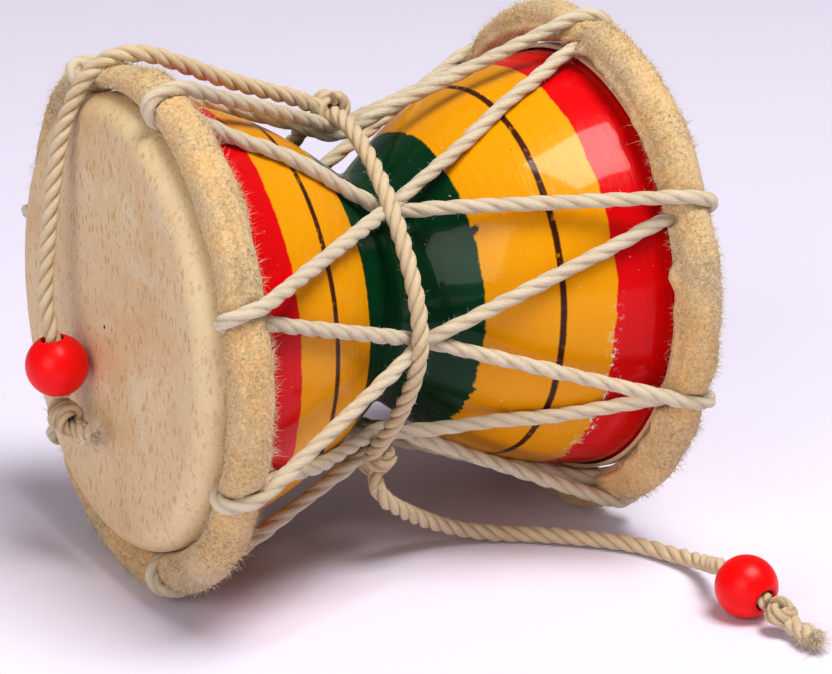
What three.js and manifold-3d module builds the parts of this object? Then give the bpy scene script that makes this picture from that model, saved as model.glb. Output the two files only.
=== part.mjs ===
// A small damaru, the two-headed hourglass hand drum, in millimetres with +Z up.
// The drum lies on its side with its axis along X. The origin is on the surface it rests on,
// below the middle of the drum. Its left head faces -X and its right head faces +X.
import * as THREE from 'three';
import { mergeVertices } from 'three/addons/utils/BufferGeometryUtils.js';
import Module from 'manifold-3d';

const wasm = await Module();
wasm.setup();

// ---- driving dimensions -------------------------------------------------------------------
const gap = 0.3; // clearance between pieces that touch
const hoopOuterRadius = 53.1;
const flatDepth = 0.7; // how far each hoop is worn flat where the drum rests
const axisHeight = hoopOuterRadius - flatDepth;

// Turned shell: outer radius at stations from the waist out to the rim, the same both ways.
const shellStations = [
  [0, 23], [4, 24.1], [8, 27], [13, 30.7], [18, 34], [24.4, 37.3], [34, 40.8], [44, 42.9],
];
const shellHalfLength = 53.4;
const rimRadius = 43.3;
const rimRounding = 4;
const shellWall = 4;
const boreRadius = 10; // the narrow way through the waist between the two cups

// Heads: goat skin drawn over the rim and down outside it.
const skinThickness = 0.8;
const skirtEnd = 47; // how far down the shell, measured from the middle, the skin reaches

// Hoops: rolled hide rings that hold the skins down.
const hoops = {
  left: { side: -1, middle: 47.3, ring: 48.9, slip: 1.6, slipAt: -90, slipWidth: 50 },
  right: { side: 1, middle: 49.2, ring: 48.9, slip: 0, slipAt: 0, slipWidth: 50 },
};
const hoopSection = 4.2; // radius of a hoop's round section
const pinchDepth = 1.3; // how far each lace loop draws a hoop in
const pinchWidth = 7; // degrees to either side that a pinch spreads over
// Where the left hoop is pressed down: under the striker cord, and along its back.
const lowPlaces = [{ at: -6, width: 16, depth: 3.4 }, { at: -90, width: 45, depth: 2.6 }];

// Lacing: one cord, seven loops round each hoop, drawn in at the waist where its legs cross.
const laceRadius = 1.45;
const leftLoops = [-23.6, 19.3, 72.4, 113.7, 161.3, 225.7, 281]; // degrees from the top to -Y
const rightLoops = [6.9, 63.2, 109.4, 152.8, 204, 256, 315];
const crossings = [[-9, 32], [40, 28.6], [92, 31.6], [143, 30.2], [186, 30], [240, 30], [294, 30.5]];
const crossingX = -2.5;
const loopSpread = 2; // degrees between a loop's middle and each of its legs
const laceBite = 1; // how deep a loop sits in the hide
const laceSides = 6;
const loopSteps = 7;
const legSteps = 3;
const legClearance = 0.6; // how far a leg lifts off the shell where it would press on it

// Waist cord and strikers: a heavier three-ply cotton cord.
const strikerRadius = 1.65;
const strikerSteps = 40;
const waistLift = laceRadius + strikerRadius + 0.9;
const beadRadius = 6.15;
const beadBore = strikerRadius + gap;

// Free cords: the left one climbs over the hoop and hangs in front of the head, and the right
// one drops to the surface and runs out to its bead.
const leftStrikerRoute = [
  [-5, 5.6, 88.5], [-12, 4.6, 91.8], [-20, 4, 94.6], [-28, 4, 97.6], [-36, 4.4, 101], [-42.5, 5.6, 103.3],
  [-48.5, 7.6, 102.9], [-53, 9.4, 99.2], [-56.2, 10.8, 92.6], [-58.2, 11.2, 86], [-59.9, 11, 77],
  [-61.2, 10.5, 68.4], [-62.2, 9.9, 60], [-62.5, 9.2, 54.5],
];
const leftBeadCentre = [-61.1, 8, 43.2];
const leftKnotCentre = [-59.8, 7.2, 32.6];
const rightStrikerRoute = [
  [-6.2, -20.6, 18.6], [-4.6, -21.6, 15.6], [-0.8, -20.6, 12.6], [4, -18.6, 9.4], [10, -17.2, 6],
  [17, -17.2, 3.2], [24, -19.4, 1.9], [31, -23.8, 1.9], [39, -30.4, 1.9], [45.6, -37.4, 1.9], [49, -45, 2.1],
  [50, -51.6, 3.2], [48.6, -58.4, 5.2],
];
const rightBeadCentre = [47.2, -71.8, 6.3];
const rightKnotCentre = [48.4, -81.6, 4.4];

const root = new THREE.Group();

// ---- helpers ------------------------------------------------------------------------------
const material = (color, roughness) => new THREE.MeshStandardMaterial({ color, roughness, metalness: 0 });
const vector = (p) => new THREE.Vector3(...p);

function add(name, geometry, finish) {
  const mesh = new THREE.Mesh(geometry, finish);
  mesh.name = name;
  root.add(mesh);
}

// A closed three.js geometry as a manifold solid.
function solid(geometry) {
  const bare = geometry.clone();
  bare.deleteAttribute('normal');
  bare.deleteAttribute('uv');
  const merged = mergeVertices(bare, 1e-4);
  const triangles = [];
  const index = merged.index.array;
  for (let i = 0; i < index.length; i += 3) {
    const [a, b, c] = [index[i], index[i + 1], index[i + 2]];
    if (a !== b && b !== c && c !== a) triangles.push(a, b, c);
  }
  return new wasm.Manifold(new wasm.Mesh({
    numProp: 3,
    vertProperties: merged.attributes.position.array,
    triVerts: new Uint32Array(triangles),
  }));
}

// A manifold solid back as a geometry.
function geometryOf(body) {
  const mesh = body.getMesh();
  const geometry = new THREE.BufferGeometry();
  geometry.setAttribute('position', new THREE.BufferAttribute(mesh.vertProperties.slice(), 3));
  geometry.setIndex(new THREE.BufferAttribute(mesh.triVerts.slice(), 1));
  geometry.computeVertexNormals();
  return geometry;
}

// The point at a distance x along the drum, a radius from its axis, and an angle from the top.
function onDrum(x, radius, degrees) {
  const a = THREE.MathUtils.degToRad(degrees);
  return new THREE.Vector3(x, -radius * Math.sin(a), axisHeight + radius * Math.cos(a));
}

// A round cord along points, with flat ends.
function cord(points, radius, steps, sides = 8) {
  const section = new THREE.Shape();
  for (let i = 0; i < sides; i++) {
    const a = (i / sides) * 2 * Math.PI;
    if (i === 0) section.moveTo(radius, 0);
    else section.lineTo(radius * Math.cos(a), radius * Math.sin(a));
  }
  section.closePath();
  const path = new THREE.CatmullRomCurve3(points, false, 'centripetal');
  return new THREE.ExtrudeGeometry(section, { steps, extrudePath: path, bevelEnabled: false });
}

function ellipsoid(centre, size, wide = 12, high = 8) {
  return new THREE.SphereGeometry(1, wide, high).scale(...size).translate(...centre);
}

// A solid turned about the drum's axis from a profile of [distance along the axis, radius].
function turned(profile, segments) {
  const points = profile.map(([along, radius]) => new THREE.Vector2(radius, along));
  return new THREE.LatheGeometry(points, segments).rotateZ(-Math.PI / 2).translate(0, 0, axisHeight);
}

// ---- shell --------------------------------------------------------------------------------
const outline = new THREE.SplineCurve(
  [...shellStations.slice(1).reverse().map(([x, r]) => new THREE.Vector2(-x, r)),
    ...shellStations.map(([x, r]) => new THREE.Vector2(x, r))]);
const outlinePoints = outline.getPoints(120);

function shellRadius(x) {
  const at = Math.min(Math.abs(x), shellStations.at(-1)[0]);
  const next = outlinePoints.findIndex((p) => p.x >= at);
  const [a, b] = [outlinePoints[next - 1], outlinePoints[next]];
  return THREE.MathUtils.lerp(a.y, b.y, (at - a.x) / (b.x - a.x));
}

function shellProfile() {
  const rings = 6;
  const turnStart = shellHalfLength - rimRounding;
  const outer = [];
  for (let i = -rings; i <= rings; i++) {
    const x = (i / rings) * shellStations.at(-1)[0];
    outer.push([x, shellRadius(x)]);
  }
  const rim = [];
  for (let i = 0; i <= 3; i++) {
    const a = (i / 3) * (Math.PI / 2);
    rim.push([turnStart + rimRounding * Math.sin(a), rimRadius - rimRounding * (1 - Math.cos(a))]);
  }
  const inner = [];
  const innerEdge = rimRadius - rimRounding - 0.4;
  for (const x of [36, 20, 12, 6]) {
    const wall = x > 12 ? shellWall : shellWall + (14 - x);
    inner.push([x, Math.max(boreRadius, Math.min(shellRadius(x) - wall, innerEdge))]);
  }
  const half = [...rim, [shellHalfLength, innerEdge], ...inner];
  const mirrored = half.map(([x, r]) => [-x, r]).reverse();
  return [...mirrored, ...outer, ...half];
}

const shellPoints = shellProfile();
const shellGeometry = turned([...shellPoints, shellPoints[0]], 40);

// ---- heads --------------------------------------------------------------------------------
// One skin: flat across, rounded over the rim and down the outside, the same thickness all over.
function headProfile(side) {
  const flatX = shellHalfLength + gap + skinThickness;
  const edge = rimRadius + gap + skinThickness;
  const bend = rimRounding + gap + skinThickness;
  const steps = 3;
  const over = [];
  const under = [];
  for (let i = 0; i <= steps; i++) {
    const a = (i / steps) * (Math.PI / 2);
    const [sin, cos] = [Math.sin(a), Math.cos(a)];
    const inside = bend - skinThickness;
    over.push([flatX - bend * (1 - cos), edge - bend * (1 - sin)]);
    under.push([flatX - bend + inside * cos, edge - bend + inside * sin]);
  }
  const loop = [[flatX, 0], ...over, [skirtEnd, edge], [skirtEnd, edge - skinThickness], ...under.reverse(),
    [flatX - skinThickness, 0]];
  return side > 0 ? loop.reverse() : loop.map(([x, r]) => [-x, r]);
}

// ---- lacing loops and hoops ---------------------------------------------------------------
const wrap = (degrees) => ((degrees + 540) % 360) - 180;
const bump = (degrees, width) => Math.exp(-((wrap(degrees) / width) ** 2));

// How far a hoop is drawn in towards the shell at an angle round the drum.
function drawnIn(name, degrees) {
  const loops = name === 'left' ? leftLoops : rightLoops;
  const pinch = loops.reduce((sum, at) => sum + pinchDepth * bump(degrees - at, pinchWidth), 0);
  const lows = name === 'left' ? lowPlaces : [];
  return lows.reduce((sum, low) => sum + low.depth * bump(degrees - low.at, low.width), pinch);
}

// How far along the drum a hoop's middle lies at an angle: it has slipped towards the waist in places.
function hoopMiddle(name, degrees) {
  const { middle, slip, slipAt, slipWidth } = hoops[name];
  return middle - slip * bump(degrees - slipAt, slipWidth);
}

function hoopRing(name) {
  const { side, ring } = hoops[name];
  const torus = new THREE.TorusGeometry(ring, hoopSection, 8, 60).rotateY(Math.PI / 2);
  const at = torus.attributes.position;
  for (let i = 0; i < at.count; i++) {
    const [x, y, z] = [at.getX(i), at.getY(i), at.getZ(i)];
    const radius = Math.hypot(y, z);
    const degrees = THREE.MathUtils.radToDeg(Math.atan2(-y, z));
    const share = (radius - ring + hoopSection) / (2 * hoopSection);
    const p = onDrum(x + side * hoopMiddle(name, degrees), radius - drawnIn(name, degrees) * share, degrees);
    at.setXYZ(i, p.x, p.y, p.z);
  }
  return torus;
}

// The way one loop goes round a hoop's section, from over its outside to under its inside.
function loopPoints(name, index) {
  const { side, ring } = hoops[name];
  const centre = (name === 'left' ? leftLoops : rightLoops)[index];
  const middle = hoopMiddle(name, centre);
  const reach = hoopSection + laceRadius - laceBite;
  const lowest = rimRadius + gap + skinThickness + gap + laceRadius;
  const points = [];
  for (let i = 0; i <= 8; i++) {
    const turn = THREE.MathUtils.degToRad(130 - (220 * i) / 8);
    const degrees = centre - loopSpread + (2 * loopSpread * i) / 8;
    const drawn = Math.sin(turn) > 0 ? drawnIn(name, centre) * Math.sin(turn) : 0;
    const rise = Math.sin(turn) > 0 ? reach - drawn : ring - lowest;
    points.push(onDrum(side * (middle + reach * Math.cos(turn)), ring + rise * Math.sin(turn), degrees));
  }
  points.push(onDrum(side * (middle - reach), lowest, centre + loopSpread));
  return points;
}

// Half a leg: from a point at one hoop, in over the shell, to a crossing at the waist.
function halfLeg(from, crossing) {
  const knee = onDrum(crossingX, crossing[1], crossing[0]);
  const points = [];
  for (let i = 0; i <= 5; i++) {
    const p = from.clone().lerp(knee, i / 5);
    const radius = Math.hypot(p.y, p.z - axisHeight);
    const clear = shellRadius(p.x) + laceRadius + gap + legClearance;
    const scale = Math.max(radius, clear) / radius;
    points.push(new THREE.Vector3(p.x, p.y * scale, axisHeight + (p.z - axisHeight) * scale));
  }
  return points;
}

const count = leftLoops.length;
const loopWays = {
  left: leftLoops.map((_, i) => loopPoints('left', i)),
  right: rightLoops.map((_, i) => loopPoints('right', i)),
};

// Every stretch of the lacing with a given cord radius, as separate solids that join end to end.
function laceStretches(radius, sides) {
  const stretches = [];
  for (const name of ['left', 'right']) {
    for (const way of loopWays[name]) stretches.push(cord(way, radius, loopSteps, sides));
  }
  for (let i = 0; i < count; i++) {
    const before = crossings[(i + count - 1) % count];
    const ends = [
      [loopWays.left[i].at(-1), crossings[i]],
      [loopWays.right[i][0], crossings[i]],
      [loopWays.left[i][0], before],
      [loopWays.right[(i + count - 2) % count].at(-1), before],
    ];
    for (const [from, crossing] of ends) {
      stretches.push(cord(halfLeg(from, crossing), radius, legSteps, sides));
    }
  }
  return stretches;
}

const joined = (geometries) => geometries.map(solid).reduce((a, b) => a.add(b));

const lacing = joined(laceStretches(laceRadius, laceSides));
// The room that the lacing needs in its neighbours, rounded out where two stretches meet.
const loopEnds = Object.values(loopWays).flat().flatMap((way) => [way[0], way.at(-1)]);
const lacingRoom = joined([
  ...laceStretches((laceRadius + gap) / Math.cos(Math.PI / laceSides), laceSides),
  ...loopEnds.map((p) => new THREE.IcosahedronGeometry(laceRadius + 2 * gap, 1).translate(p.x, p.y, p.z)),
]);

const ground = solid(new THREE.BoxGeometry(400, 400, 20).translate(0, 0, -10));

// ---- waist cord ---------------------------------------------------------------------------
const waistWay = crossings.map(([degrees, radius]) => onDrum(crossingX, radius + waistLift, degrees));
const waistRing = new THREE.TubeGeometry(
  new THREE.CatmullRomCurve3(waistWay, true, 'centripetal'), 42, strikerRadius, 8, true);
const topKnot = ellipsoid([-3.2, 6.2, 88.2], [4.4, 3.6, 3]);
const lowKnot = ellipsoid([-4.8, -18.2, 23.6], [3.6, 3.4, 4.4]);
const waist = joined([waistRing, topKnot, lowKnot]).subtract(lacingRoom);
const knotRoom = joined([
  ellipsoid([-3.2, 6.2, 88.2], [4.4 + gap, 3.6 + gap, 3 + gap]),
  ellipsoid([-4.8, -18.2, 23.6], [3.6 + gap, 3.4 + gap, 4.4 + gap]),
]);

// ---- strikers -----------------------------------------------------------------------------
// A cord from its knot at the waist, through the bead, up to the knot beyond it.
function striker(route, bead, knot, radius) {
  const [centre, end] = [vector(bead), vector(knot)];
  const way = end.clone().sub(centre).normalize();
  const enters = centre.clone().addScaledVector(way, -beadRadius - 0.8);
  const leaves = centre.clone().addScaledVector(way, beadRadius + 0.2);
  const points = [...route.map(vector), enters, centre, leaves];
  return solid(cord(points, radius, strikerSteps)).subtract(knotRoom);
}

const leftStriker = striker(leftStrikerRoute, leftBeadCentre, leftKnotCentre, strikerRadius);
const rightStriker = striker(rightStrikerRoute, rightBeadCentre, rightKnotCentre, strikerRadius);
const strikerRoom = striker(leftStrikerRoute, leftBeadCentre, leftKnotCentre, strikerRadius + gap + 0.1);

// A round bead with its bore along the cord.
function bead(centre, to) {
  const start = Math.asin(beadBore / beadRadius);
  const profile = [];
  for (let i = 0; i <= 10; i++) {
    const a = start + ((Math.PI - 2 * start) * i) / 10;
    profile.push(new THREE.Vector2(beadRadius * Math.sin(a), -beadRadius * Math.cos(a)));
  }
  profile.push(profile[0].clone());
  const way = vector(to).sub(vector(centre)).normalize();
  const turn = new THREE.Quaternion().setFromUnitVectors(new THREE.Vector3(0, 1, 0), way);
  return new THREE.LatheGeometry(profile, 20).applyQuaternion(turn).translate(...centre);
}

// The knot under a bead, with the frayed tail of the cord.
function endKnot(centre, size, tail, tailRadius) {
  const knot = joined([ellipsoid(centre, size), cord(tail.map(vector), tailRadius, 4)]);
  return geometryOf(knot.subtract(ground));
}

const paintedWood = material('#d98a10', 0.2);
const headSkin = material('#d9c39a', 0.7);
const hoopHide = material('#cfb78c', 0.9);
const cotton = material('#e6dccb', 0.95);
const redPlastic = material('#e3120f', 0.3);

add('shell', geometryOf(solid(shellGeometry)), paintedWood);
add('left_head', geometryOf(solid(turned(headProfile(-1), 40))), headSkin);
add('right_head', geometryOf(solid(turned(headProfile(1), 40))), headSkin);
for (const name of ['left', 'right']) {
  const ring = solid(hoopRing(name)).subtract(lacingRoom).subtract(strikerRoom).subtract(ground);
  add(`${name}_hoop`, geometryOf(ring), hoopHide);
}
add('lacing_cord', geometryOf(lacing), cotton);
add('waist_cord', geometryOf(waist), cotton);
add('left_striker_cord', geometryOf(leftStriker), cotton);
add('right_striker_cord', geometryOf(rightStriker), cotton);
add('left_bead', bead(leftBeadCentre, leftKnotCentre), redPlastic);
add('right_bead', bead(rightBeadCentre, rightKnotCentre), redPlastic);
add('left_end_knot', endKnot(leftKnotCentre, [3.2, 4.4, 3.6],
  [leftKnotCentre, [-58.6, 2.4, 30.4], [-58, -2.6, 31.4]], 1.6), cotton);
add('right_end_knot', endKnot(rightKnotCentre, [3, 3.6, 3],
  [rightKnotCentre, [49.4, -86, 2.6], [49.6, -90.4, 2.4]], 2.2), cotton);

export default root;
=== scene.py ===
import math
import bpy
import numpy as np
from mathutils import Matrix, Vector, noise


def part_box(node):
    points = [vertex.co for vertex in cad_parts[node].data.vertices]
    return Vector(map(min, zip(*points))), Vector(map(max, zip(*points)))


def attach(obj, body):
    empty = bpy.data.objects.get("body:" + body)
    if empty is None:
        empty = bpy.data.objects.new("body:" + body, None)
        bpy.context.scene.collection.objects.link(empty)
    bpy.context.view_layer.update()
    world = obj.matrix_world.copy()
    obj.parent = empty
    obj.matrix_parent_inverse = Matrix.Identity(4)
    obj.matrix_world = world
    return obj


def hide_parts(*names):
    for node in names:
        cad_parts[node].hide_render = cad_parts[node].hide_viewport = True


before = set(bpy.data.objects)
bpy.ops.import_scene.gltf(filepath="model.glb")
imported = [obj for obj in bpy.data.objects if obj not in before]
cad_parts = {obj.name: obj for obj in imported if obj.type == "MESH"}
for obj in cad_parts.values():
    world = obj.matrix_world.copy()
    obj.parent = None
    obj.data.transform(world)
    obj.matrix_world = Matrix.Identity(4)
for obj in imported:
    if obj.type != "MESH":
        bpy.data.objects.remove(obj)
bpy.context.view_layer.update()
mm = 0.001
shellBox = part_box("shell")
axisHeight = (shellBox[0][2] + shellBox[1][2]) / 2

# The camera stands where the photograph was taken from.
viewFrom = {
    "azimuth": -29.63, "elevation": 19.0, "roll": 1.04,  # degrees
    "distance": 0.5587, "right": 0.012, "up": -0.0098, "lens": 120.9,
}


def placeCamera():
    az, el, roll = (math.radians(viewFrom[k]) for k in ("azimuth", "elevation", "roll"))
    back = Vector((math.sin(az) * math.cos(el), -math.cos(az) * math.cos(el), math.sin(el)))
    right = Vector((0, 0, 1)).cross(back).normalized()
    up = back.cross(right)
    turnedRight = right * math.cos(roll) + up * math.sin(roll)
    turnedUp = up * math.cos(roll) - right * math.sin(roll)
    place = back * viewFrom["distance"] + turnedRight * viewFrom["right"] + turnedUp * viewFrom["up"]
    place.z += axisHeight
    bpy.ops.object.camera_add()
    camera = bpy.context.object
    turned = Matrix((turnedRight, turnedUp, back)).transposed()
    camera.matrix_world = Matrix.Translation(place) @ turned.to_4x4()
    camera.data.lens = viewFrom["lens"]
    camera.data.sensor_width = 36
    camera.data.clip_start = 0.01
    bpy.context.scene.camera = camera


placeCamera()
print("camera placed")


# Paths and meshes
def onDrum(x, radius, degrees):  # millimetres and degrees from the top towards -Y, to metres
    a = math.radians(degrees)
    return np.array([x * mm, -radius * mm * math.sin(a), axisHeight + radius * mm * math.cos(a)])


def apart(first, second):  # the knot spacing of a centripetal curve
    return math.sqrt(max(np.linalg.norm(second - first), 1e-7))


def hermite(start, end, leaving, arriving, t):
    square = (3 * (end - start) - 2 * leaving - arriving) * t**2
    return start + leaving * t + square + (2 * (start - end) + leaving + arriving) * t**3


def distances(path):  # along the path, from its start
    return np.concatenate([[0], np.cumsum(np.linalg.norm(np.diff(path, axis=0), axis=1))])


def smoothPath(points, step):  # a centripetal curve through the points, in even steps
    p = np.asarray(points, float)
    p = np.vstack([2 * p[0] - p[1], p, 2 * p[-1] - p[-2]])
    line = []
    for p0, p1, p2, p3 in zip(p, p[1:], p[2:], p[3:]):
        d0, d1, d2 = apart(p0, p1), apart(p1, p2), apart(p2, p3)
        m1 = ((p1 - p0) / d0 - (p2 - p0) / (d0 + d1) + (p2 - p1) / d1) * d1
        m2 = ((p2 - p1) / d1 - (p3 - p1) / (d1 + d2) + (p3 - p2) / d2) * d1
        t = np.linspace(0, 1, 24, endpoint=False)[:, None]
        line.append(hermite(p1, p2, m1, m2, t))
    line = np.vstack(line + [p[-2:-1]])
    along = distances(line)
    even = np.linspace(0, along[-1], max(int(along[-1] / step), 4) + 1)
    return np.stack([np.interp(even, along, line[:, i]) for i in range(3)], axis=1)


def carriedFrames(path):  # a normal and binormal at each point that turn no more than they must
    tangents = np.gradient(path, axis=0)
    tangents /= np.linalg.norm(tangents, axis=1)[:, None]
    start = np.cross(tangents[0], [0.3, 0.9, 0.2])
    normals = np.empty_like(path)
    normals[0] = start / np.linalg.norm(start)
    for i in range(1, len(path)):
        n = normals[i - 1] - tangents[i] * normals[i - 1].dot(tangents[i])
        normals[i] = n / np.linalg.norm(n)
    return tangents, normals, np.cross(tangents, normals)


def wander(path, size, reach, seed):  # a slight unevenness, so that nothing laid by hand is dead straight
    rng = np.random.default_rng(seed)
    s = np.arange(len(path)) * np.linalg.norm(path[1] - path[0])
    ease = np.minimum(1, np.minimum(s, s[-1] - s) / (2 * reach))[:, None]
    moved = path.copy()
    for octave in (1, 2.3):
        phase, way = rng.uniform(0, 6.28, 3), rng.normal(size=3)
        moved += ease * size / octave * np.sin(s[:, None] * octave * 6.28 / reach + phase) * way / 2
    return moved


def newPiece(name, points, faces):
    mesh = bpy.data.meshes.new(name)
    mesh.from_pydata(points.tolist(), [], faces)
    mesh.polygons.foreach_set("use_smooth", np.full(len(mesh.polygons), True))
    mesh.update()
    piece = bpy.data.objects.new(name, mesh)
    bpy.context.scene.collection.objects.link(piece)
    return piece


def giveAttribute(piece, name, kind, values):
    layer = piece.data.attributes.new(name, kind, "POINT")
    field = "vector" if kind == "FLOAT_VECTOR" else "value"
    layer.data.foreach_set(field, np.asarray(values, float).ravel())


# Twisted rope
def plySection(look):  # the outline of plies laid together, as a radius at each angle
    sides, plies = look["sides"], look["plies"]
    angle = np.arange(sides) * 2 * math.pi / sides
    off = ((angle * plies + math.pi) % (2 * math.pi) - math.pi) / plies
    ply = 1 / (1 + 1 / math.sin(math.pi / plies))
    centre = 1 - ply
    radius = centre * np.cos(off) + np.sqrt(np.maximum(ply**2 - (centre * np.sin(off)) ** 2, 0))
    return angle, radius * (1 - look["fill"]) + look["fill"]


def twistRope(path, look, swell):
    angle, section = plySection(look)
    tangents, normals, binormals = carriedFrames(path)
    s = distances(path)
    rng = np.random.default_rng(look["seed"])
    marks = np.arange(0, s[-1] + 8 * mm, 4 * mm)
    uneven = 1 + look["uneven"] * np.interp(s, marks, rng.normal(size=len(marks)))
    size = look["radius"] * uneven * swell
    turn = s[:, None] * 2 * math.pi / look["pitch"] + angle[None]
    out = np.cos(turn)[..., None] * normals[:, None] + np.sin(turn)[..., None] * binormals[:, None]
    ring = (size[:, None] * section[None])[..., None]
    points = (path[:, None] + ring * out).reshape(-1, 3)
    flat = np.stack([np.repeat(s, len(angle)), (ring[..., 0] * np.cos(angle)).ravel(),
                     (ring[..., 0] * np.sin(angle)).ravel()], axis=1)
    rings, sides = len(path), len(angle)
    i, j = np.meshgrid(np.arange(rings - 1), np.arange(sides), indexing="ij")
    a, b = i * sides + j, i * sides + (j + 1) % sides
    faces = np.stack([a, b, b + sides, a + sides], axis=-1).reshape(-1, 4).tolist()
    first, last = len(points), len(points) + 1
    points = np.vstack([points, path[0], path[-1]])
    flat = np.vstack([flat, [0, 0, 0], [s[-1], 0, 0]])
    end = (rings - 1) * sides
    faces += [[(k + 1) % sides, k, first] for k in range(sides)]
    faces += [[end + k, end + (k + 1) % sides, last] for k in range(sides)]
    outward = np.vstack([out.reshape(-1, 3), -tangents[:1], tangents[-1:]])
    along = np.vstack([np.repeat(tangents, sides, axis=0), tangents[:1], tangents[-1:]])
    return points, faces, flat, outward, along


def fibres(roots, ways, lengths, thickness, seed, bend):  # tapered hairs of a few faces each
    rng = np.random.default_rng(seed)
    count = len(roots)
    ways = ways / np.linalg.norm(ways, axis=1)[:, None]
    side = np.cross(ways, rng.normal(size=(count, 3)))
    side /= np.linalg.norm(side, axis=1)[:, None]
    other = np.cross(ways, side)
    curl = side * rng.normal(size=(count, 1)) + other * rng.normal(size=(count, 1))
    curl = curl * bend * lengths[:, None]
    rows = []
    for share, thick in ((0, 1), (0.5, 0.8)):
        middle = roots + ways * (lengths * share)[:, None] + curl * share**2
        for k in range(3):
            a = k * 2 * math.pi / 3
            rows.append(middle + (side * math.cos(a) + other * math.sin(a)) * thickness * thick)
    rows.append(roots + ways * lengths[:, None] + curl)
    points = np.stack(rows, axis=1).reshape(-1, 3)
    base = np.arange(count)[:, None] * 7
    quads = [base + [k, (k + 1) % 3, (k + 1) % 3 + 3, k + 3] for k in range(3)]
    tips = [base + [3 + k, 3 + (k + 1) % 3, 6] for k in range(3)] + [base + [2, 1, 0]]
    faces = np.concatenate(quads).tolist() + np.concatenate(tips).tolist()
    shade = np.repeat(rng.uniform(0, 1, count), 7)
    return points, faces, shade


class Parts:  # meshes gathered into one piece, with a straightened place and a shade for each point
    def __init__(self):
        self.points, self.faces, self.flat, self.shade, self.count = [], [], [], [], 0

    def add(self, points, faces, flat, shade):
        self.points.append(points)
        self.faces += [[v + self.count for v in face] for face in faces]
        self.flat.append(flat)
        self.shade.append(shade)
        self.count += len(points)

    def addFibres(self, points, faces, shade):
        self.add(points, faces, np.zeros((len(points), 3)), shade)

    def piece(self, name, lowest=0):
        points = np.vstack(self.points)
        points[:, 2] = np.maximum(points[:, 2], lowest)  # what touches the surface lies on it
        made = newPiece(name, points, self.faces)
        giveAttribute(made, "strand", "FLOAT_VECTOR", np.vstack(self.flat))
        giveAttribute(made, "shade", "FLOAT", np.concatenate(self.shade))
        return made


def addRope(parts, path, look, swell=1.0):
    points, faces, flat, outward, along = twistRope(path, look, swell)
    parts.add(points, faces, flat, np.full(len(points), -1.0))
    rng = np.random.default_rng(look["seed"] + 7)
    length = np.linalg.norm(np.diff(path, axis=0), axis=1).sum()
    count = int(length * look["fuzz"])
    pick = rng.integers(0, len(points) - 2, count)
    lean = along[pick] * rng.normal(0, 1.1, (count, 1))
    lean += outward[pick] * rng.uniform(0.1, 0.9, (count, 1))
    lean += np.cross(along[pick], outward[pick]) * rng.normal(0, 0.7, (count, 1))
    lengths = rng.uniform(0.5, 1, count) ** 2 * look["fuzzLength"]
    parts.addFibres(*fibres(points[pick], lean, lengths, look["fuzzThickness"], look["seed"], 0.6))


# The drum's sizes, in millimetres, and the cords that lie on it
softRope = {
    "radius": 1.5 * mm, "plies": 3, "pitch": 15 * mm, "fill": 0.66, "sides": 24, "uneven": 0.04,
    "seed": 11, "fuzz": 3400, "fuzzLength": 1.2 * mm, "fuzzThickness": 0.03 * mm, "step": 0.75 * mm,
}
threePly = {
    "radius": 1.72 * mm, "plies": 3, "pitch": 10.5 * mm, "fill": 0.46, "sides": 30, "uneven": 0.02,
    "seed": 23, "fuzz": 6500, "fuzzLength": 1.2 * mm, "fuzzThickness": 0.026 * mm, "step": 0.5 * mm,
}
lacing = {
    "left": [-23.6, 19.3, 72.4, 113.7, 161.3, 225.7, 281],  # degrees from the top towards -Y
    "right": [6.9, 63.2, 109.4, 152.8, 204, 256, 315],
    "crossings": [(-9, 32), (40, 28.6), (92, 31.6), (143, 30.2), (186, 30), (240, 30), (294, 30.5)],
    "crossingX": -2.5, "spread": 2, "radius": 1.45, "bite": 1, "lowest": 46.15, "ride": 0.75,
}
hoops = {
    "left": {
        "side": -1, "middle": 47.3, "ring": 48.9, "slip": (-90, 50, 1.6),  # at, width, depth
        "lows": [(-6, 16, 3.4), (-90, 45, 2.6)],
    },
    "right": {"side": 1, "middle": 49.2, "ring": 48.9, "slip": (0, 50, 0), "lows": []},
    "section": 4.2, "pinch": 1.3, "pinchWidth": 7,
}
shellLine = [(0, 23), (4, 24.1), (8, 27), (13, 30.7), (18, 34), (24.4, 37.3), (34, 40.8), (44, 42.9)]
strikerRadius = 1.65
waistLeans = [0.5, 2, 2.5, 4.5, 1, 0, 0]  # how far the waist cord leans to the left of each crossing
waistLift = lacing["radius"] + strikerRadius + 0.9


def shellRadius(x):
    knots = np.array([(-a, r) for a, r in shellLine[:0:-1]] + shellLine, float)
    p = np.vstack([knots[0], knots, knots[-1]])
    line = []
    for p0, p1, p2, p3 in zip(p, p[1:], p[2:], p[3:]):
        t = np.linspace(0, 1, 16, endpoint=False)[:, None]
        line.append(hermite(p1, p2, (p2 - p0) / 2, (p3 - p1) / 2, t))
    line = np.vstack(line + [p[-1:]])
    return np.interp(x, line[:, 0], line[:, 1])


def bump(degrees, width):
    off = (np.asarray(degrees) + 540) % 360 - 180
    return np.exp(-((off / width) ** 2))


def drawnIn(name, degrees):  # how far a hoop is pulled in towards the shell, in millimetres
    total = sum(hoops["pinch"] * bump(degrees - at, hoops["pinchWidth"]) for at in lacing[name])
    return total + sum(depth * bump(degrees - at, width) for at, width, depth in hoops[name]["lows"])


def hoopMiddle(name, degrees):
    at, width, slip = hoops[name]["slip"]
    return hoops[name]["middle"] - slip * bump(degrees - at, width)


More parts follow.
